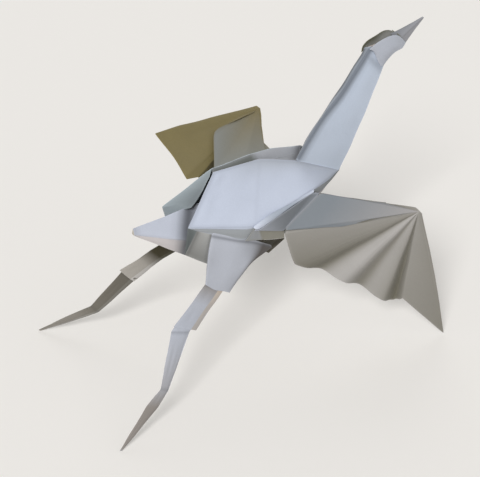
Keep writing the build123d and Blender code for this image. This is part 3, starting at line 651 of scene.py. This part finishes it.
def strip(middles, creases, halves, thickness, shading_and_browning, folds):
    """A flat strip: at each station the profile's first numbers times the half width lie along the
    crease, and its second numbers times the thickness lie along the strip's own normal. Where the
    half width is under that of the full thickness, the strip gets thinner with it."""
    middles, creases, halves = np.array(middles), np.array(creases), np.array(halves)
    along = np.gradient(middles, axis=0)
    normals = np.cross(creases, along)
    normals *= (np.sign(normals @ leg_out) / np.linalg.norm(normals, axis=1))[:, None]
    across, lift = np.array(strip_profile).T
    ring = middles + across[:, None, None] * (creases * halves[:, None])
    thinned = thickness * np.minimum(1, halves / full_thickness_half)
    ring = ring + lift[:, None, None] * normals * thinned[:, None]
    facing = np.cross(ring[1, 0] - ring[0, 0], along[0]) @ leg_out
    ring = ring if facing > 0 else ring[::-1]
    return paper(ring, (7, 12), (0.08, 0.05), (True, False), puff=0.3, shading_and_browning=np.array(shading_and_browning)[None, :],
                 creases=((), folds))


def leg(name, root, joints, creases, halves, slide, cut, shank_shade, shin_shade, shin_slots, finishes):
    """The shank from the belly to its cut end by the knee, and the shin and foot out of that end,
    slid a little to one side. Each crease is the direction across the strip at one station."""
    hip, knee, ankle, toe = joints
    at_hip, at_end, at_knee, at_ankle, at_sole = (aim(*pair) for pair in creases)
    up_shank = unit(hip - knee)
    shank = strip([root, hip, between(hip, knee, shade_share), knee + cut * up_shank],
                  [at_hip, at_hip, at_hip, at_end],
                  [halves[key] for key in ("cuff", "cuff", "cuff", "knee")],
                  shank_thickness, shank_shade, ())
    start = knee + shin_hidden * up_shank
    sole = ankle + sole_share * (toe - ankle)
    shin = strip([start - slide * at_knee, knee - slide * at_knee, ankle, sole, toe],
                 [at_knee, at_knee, at_ankle, at_sole, at_sole],
                 [halves[key] for key in ("shin", "shin", "ankle", "sole", "toe")],
                 shin_thickness, shin_shade, ((1, 0.35, 1.0), (2, 0.3, 1.2)))
    dressed(roll(name + "_shank", shank, (0, 0, 1, 0, 0, 0)), *finishes)
    dressed(roll(name + "_shin", shin, shin_slots), *finishes)


leg("near", near_root, near_joints, **near_leg)
leg("far", far_root, far_joints, **far_leg)

# The wings. Each is a fan pleated round the wrist. Its front edge is folded back over it as a
# second layer. The right wing hangs down in front, the left one is swept back. A place on the rim is
# given by its angle from the outer edge, its length from the wrist and its lift out of the back.
near_wing_root = (19.5, -22.5, -38.5)
near_pleats = [(16.3, 87.1, -1.0), (18.9, 96.4, -9.0), (26.1, 89.9, -1.0), (37.8, 85.9, -10.0),
               (50.1, 83.0, -1.5), (62.3, 87.2, -8.0), (72.4, 94.0, -1.0), (76.6, 97.0, 0.0)]
near_root_edge = [(83.9, 95.2, 0.0), (95.3, 94.9, 0.4), (109.6, 68.3, -16.7)]
near_lead = [(109.4, 47.2, -12.3), (112.6, 23.3, -6.5), (119.1, 13.1, -3.5), (151.8, 4.2, -1.0),
             (-29.0, 3.7, 0.0), (-6.4, 17.2, 0.0), (-3.3, 39.6, 0.0), (-2.0, 64.8, 0.0),
             (-0.9, 96.3, 0.0)]
near_layer = [(98.0, 95.3, 1.8), (96.8, 75.4, 1.6), (94.2, 53.8, 1.5), (96.9, 34.6, 1.4)]
far_pleats = [(4.9, 126.3, -2.6), (10.4, 130.1, -3.6), (16.4, 140.3, -4.0), (17.4, 141.8, -4.3),
              (19.4, 131.9, -4.0)]
far_root_edge = [(22.3, 125.6, -12.0), (32.0, 99.5, 1.0), (43.2, 64.5, 0.0)]
far_root_corner = [(42.9, 47.8, 0.3), (50.9, 57.3, 0.3), (40.0, 74.0, 0.3)]
far_lead = [(42.9, 48.6, 0.0), (42.5, 42.2, 0.0), (56.1, 8.1, 0.0), (-175.8, 2.7, 0.0),
            (-118.1, 4.1, 0.0), (-7.2, 21.5, 0.0), (-3.1, 47.4, 0.0), (-1.6, 72.7, 0.0),
            (-1.0, 96.9, 0.0)]
far_layer = [(31.2, 97.7, 2.5), (22.5, 122.1, 0.5), (11.8, 79.7, 1.2), (10.0, 74.3, 1.6),
             (9.1, 66.7, 1.7), (9.5, 55.8, 1.8), (11.0, 37.4, 1.6), (13.9, 12.4, 1.3)]
near_seat = [(8.0, -14.0, -16.0), (30.0, -12.0, -4.0)]
far_seat = [(33.0, 20.0, 8.0), (33.0, 20.0, 8.0)]
wing_wall, layer_gap, fold_bulge = 0.45, 1.3, 0.8
pleat_steps, rolled_steps, fan_steps = 3, 3, (18, 9)
soft_pleat, soft_layer, soft_skirt, crisp_corner = 0.5, 0.12, 0.3, 0.03
# Painted shade: the near wing's root strip and the cut edges of its layer and front edge are painted
# dark, the near fan darkens on the shaded face of each pleat, its layer and most of the skirt towards
# the body, and the far fan by its root edge. The far layer is grey along part of its rim, cream
# elsewhere.
wing_paper = paper_finish("wing_paper", (0.40, 0.385, 0.37), (0.14, 0.13, 0.095))
wing_layer_paper = paper_finish("wing_layer_paper", (0.31, 0.295, 0.29), (0.18, 0.20, 0.22))
skirt_paper = paper_finish("skirt_paper", (0.46, 0.48, 0.55), (0.185, 0.20, 0.22))
wing_root_shade_paper = paper_finish("wing_root_shade_paper", (0.22, 0.22, 0.20), (0.05, 0.04, 0.02))
far_wing_paper = paper_finish("far_wing_paper", (0.24, 0.195, 0.08), (0.17, 0.135, 0.04))
far_layer_paper = paper_finish("far_layer_paper", (0.225, 0.18, 0.075), (0.27, 0.28, 0.265))


def wing_axes(wrist, tip, root, back_side):
    """Axes of a wing: along the outer edge, across it to the root, and out of its back."""
    along, inward = unit(tip - wrist), np.asarray(root, float) - wrist
    back = unit(np.cross(inward, along))
    across = np.cross(along, back)
    across = across * np.sign(across @ inward)
    return along, across, back * np.sign(back @ back_side)


def rim_places(wrist, axes, creases):
    """Rim of the fan: length (cos(angle) along + sin(angle) across) + lift back, from the wrist."""
    angle, length, lift = np.array(creases).T
    turn = np.radians(angle)
    flat = np.outer(length * np.cos(turn), axes[0]) + np.outer(length * np.sin(turn), axes[1])
    return wrist + flat + np.outer(lift, axes[2])


def rounded(creases):
    """The creases with softer ones between every two; the lift follows a half wave,
    first + (last - first) (1 - cos(pi share)) / 2."""
    creases = np.array(creases)
    share = np.arange(pleat_steps)[None, :, None] / pleat_steps
    first, step = creases[:-1, None], np.diff(creases, axis=0)[:, None]
    share = share * (1, 1, 0) + (1 - np.cos(np.pi * share)) / 2 * (0, 0, 1)
    return [*map(tuple, (first + share * step).reshape(-1, 3)), tuple(creases[-1])]


def fan(wrist, rim, soft, back, shading_and_browning, ring=False):
    """A fan from the wrist to its rim; its columns are the creases. The rim is turned round where
    the fan's normals would not face out of the wing's back."""
    facing = np.cross(rim[1] - wrist, rim[2] - rim[1]) @ back
    order = slice(None) if facing > 0 else slice(None, None, -1)
    count = len(rim)
    soft, shading_and_browning = np.broadcast_to(soft, (count,))[order], np.broadcast_to(shading_and_browning, (2, count))[:, order]
    corners = np.stack((np.broadcast_to(wrist, rim.shape), rim[order]))
    return paper(corners, fan_steps, (0.05, soft), (False, ring), puff=0.1, shading_and_browning=shading_and_browning)


def wing(name, wrist, tip, axes, trail, lead, layer, seat, finishes, pleats, tones):
    """The fan with its rolled front edge, the second layer over it and the strip to the body. The
    rim's corners from the first of pleats up to the second are folded softly. Returns where the
    layer's front edge ends at the body and the first corner of its free edge."""
    rim = np.vstack((tip, rim_places(wrist, axes, trail + lead)))
    soft = np.full(len(rim), crisp_corner)
    soft[pleats[0]:pleats[1]] = soft_pleat
    dressed(leaf(name + "_fan", fan(wrist, rim, soft, axes[2], tones[0], ring=True), wing_wall),
            *finishes[0])
    front = len(trail)
    fold = rim[front:front + rolled_steps]
    up = unit(np.cross(rim[front - 1] - wrist, rim[front] - wrist))
    over = fold + layer_gap * up * np.sign(up @ axes[2])
    outwards = (fold - rim[front - 1]) / np.linalg.norm(fold - rim[front - 1])
    bend = (fold + over) / 2 + fold_bulge * outwards
    edge = np.vstack((over[::-1], rim_places(wrist, axes, layer)))
    dressed(leaf(name + "_layer", fan(wrist, edge, soft_layer, axes[2], tones[1]), wing_wall),
            *finishes[1])
    rolled = np.array((fold, bend, over))
    facing = np.cross(rolled[1, 0] - rolled[0, 0], rolled[0, 1] - rolled[0, 0])
    outward = facing @ (bend[0] - (fold[0] + over[0]) / 2)
    rolled = rolled if outward > 0 else rolled[::-1]
    dressed(leaf(name + "_front_edge", paper(rolled, (6, 14), (0.4, 0.1)), wing_wall), *finishes[1])
    root = np.array(((rim[front], rim[front - 1]), seat[::-1]))
    dressed(leaf(name + "_root", paper(root, (8, 8), puff=0.4, shading_and_browning=0.2), wing_wall), *finishes[2])
    return over[0], edge[rolled_steps]


# How dark the near fan is at each angle of its rim: the lower face of each pleat is in shade.
pleat_shade = [(0.0, 0.7), (16.3, 0.5), (18.9, 1.0), (23.0, 0.9), (26.1, 0.45), (31.0, 0.25),
               (36.0, 0.2), (38.5, 1.0), (43.0, 0.6), (50.0, 0.0), (56.0, 0.0), (60.5, 0.3), (63.0, 1.0),
               (68.0, 1.0), (72.4, 0.8), (76.6, 0.7), (95.3, 0.4), (110.0, 0.2)]
front_edge_shade, wrist_shade_share = 0.6, 0.7
near_folds = rounded(near_pleats)
near_trail = near_folds + near_root_edge
near_rim_angles = np.array([0.0, *(crease[0] for crease in near_trail)])
near_rim_shade = np.interp(near_rim_angles, *np.array(pleat_shade).T)
near_rim_shade = np.concatenate((near_rim_shade, [front_edge_shade] * len(near_lead)))
near_fan_shade = np.array((wrist_shade_share * near_rim_shade, near_rim_shade))
near_layer_shade = ((0.0,) * 7, (0.7, 0.9, 1.2, 1.3, 1.2, 1.0, 0.8))
near_axes = wing_axes(near_wrist, near_tip, near_wing_root, np.array((0.0, -1.0, 0.0)))
near_finishes = ((wing_paper,), (wing_layer_paper, wing_paper, wing_root_shade_paper),
                 (wing_root_shade_paper, wing_root_shade_paper, wing_paper))
layer_front, layer_corner = wing(
    "near_wing", near_wrist, near_tip, near_axes, near_trail, near_lead, near_layer, near_seat,
    near_finishes, (2, 1 + len(near_folds)), (near_fan_shade, near_layer_shade))
skirt = np.array([layer_front, *belt_low, belt_end])
skirt_shade = ((0.9,) * 6, (1.0, 1.1, 1.1, 0.9, 0.4, 0.1))
dressed(leaf("near_wing_skirt", fan(layer_corner, skirt, soft_skirt, near_axes[2], skirt_shade),
             wing_wall), skirt_paper, wing_paper)
far_axes = wing_axes(far_wrist, far_tip, wing_front * (1, -1, 1), np.array((0.0, 0.0, 1.0)))
far_trail = far_pleats + far_root_edge
far_fan_shade = np.zeros((2, 1 + len(far_trail + far_lead)))
far_fan_shade[:, 4:len(far_trail) + 1] = 0.5
far_layer_grey = ((0.0,) * 11, (0.2, 0.4, 0.8, 1.0, 1.0, 1.0, 0.8, 0.4, 0.1, 0.0, 0.0))
wing("far_wing", far_wrist, far_tip, far_axes, far_trail, far_lead, far_layer, far_seat,
     ((far_wing_paper,), (far_layer_paper,), (far_wing_paper,)), (1, 3), (far_fan_shade, far_layer_grey))
root_corner = rim_places(far_wrist, far_axes, far_root_corner)
dressed(leaf("far_wing_corner", paper(root_corner[[(0, 1), (2, 1)]], (6, 6), shading_and_browning=0.6), wing_wall),
        far_layer_paper)

# The studio: a pale floor that keeps the bird's soft shadow, one broad lamp from behind the camera's
# left shoulder, a weak one from beyond the bird, and a bright even sky. The floor glows a little
# towards the camera.
floor_half, floor_tone, floor_lift = 3.0, (0.74, 0.72, 0.69, 1), 0.22
floor_mesh = bpy.data.meshes.new("floor")
floor_corners = np.array([(-1, -1, 0), (1, -1, 0), (1, 1, 0), (-1, 1, 0)]) * floor_half
floor_mesh.from_pydata(floor_corners.tolist(), [], [(0, 1, 2, 3)])
floor = bpy.data.objects.new("floor", floor_mesh)
bpy.context.scene.collection.objects.link(floor)
floor_finish = bpy.data.materials.new("floor")
floor_finish.use_nodes = True
floor_nodes, floor_links = floor_finish.node_tree.nodes, floor_finish.node_tree.links
floor_shader = floor_nodes["Principled BSDF"]
floor_shader.inputs["Base Color"].default_value = floor_tone
floor_shader.inputs["Roughness"].default_value = 0.9
floor_shader.inputs["Specular IOR Level"].default_value = 0.1
floor_glow = floor_nodes.new("ShaderNodeEmission")
floor_glow.inputs["Color"].default_value = floor_tone
seen = floor_nodes.new("ShaderNodeLightPath")
floor_sum, floor_strength = floor_nodes.new("ShaderNodeAddShader"), floor_nodes.new("ShaderNodeMath")
floor_strength.operation = "MULTIPLY"
floor_strength.inputs[1].default_value = floor_lift
floor_links.new(seen.outputs["Is Camera Ray"], floor_strength.inputs[0])
floor_links.new(floor_strength.outputs[0], floor_glow.inputs["Strength"])
floor_links.new(floor_shader.outputs[0], floor_sum.inputs[0])
floor_links.new(floor_glow.outputs[0], floor_sum.inputs[1])
floor_links.new(floor_sum.outputs[0], floor_nodes["Material Output"].inputs["Surface"])
floor_mesh.materials.append(floor_finish)


def studio_sun(name, towards, strength, softness):
    """A far lamp that shines in one direction; softness is the angle that it fills."""
    lamp = bpy.data.objects.new(name, bpy.data.lights.new(name, "SUN"))
    lamp.data.energy = strength
    lamp.data.angle = np.radians(softness)
    z = unit(-np.array(towards, float))
    x = unit(np.cross((0.0, 0.0, 1.0), z))
    turn = np.eye(4)
    turn[:3, :3] = np.array((x, np.cross(z, x), z)).T
    lamp.matrix_world = Matrix(turn.tolist())
    bpy.context.scene.collection.objects.link(lamp)


studio_sun("key_lamp", (0.62, 0.55, -0.56), 2.35, 16.0)
studio_sun("fill_lamp", (-0.35, -0.60, -0.70), 0.25, 40.0)
world = bpy.data.worlds.new("studio")
bpy.context.scene.world = world
world.use_nodes = True
world.node_tree.nodes["Background"].inputs["Color"].default_value = (1.0, 1.0, 1.0, 1)
world.node_tree.nodes["Background"].inputs["Strength"].default_value = 0.42
bpy.context.scene.view_settings.view_transform = "Standard"
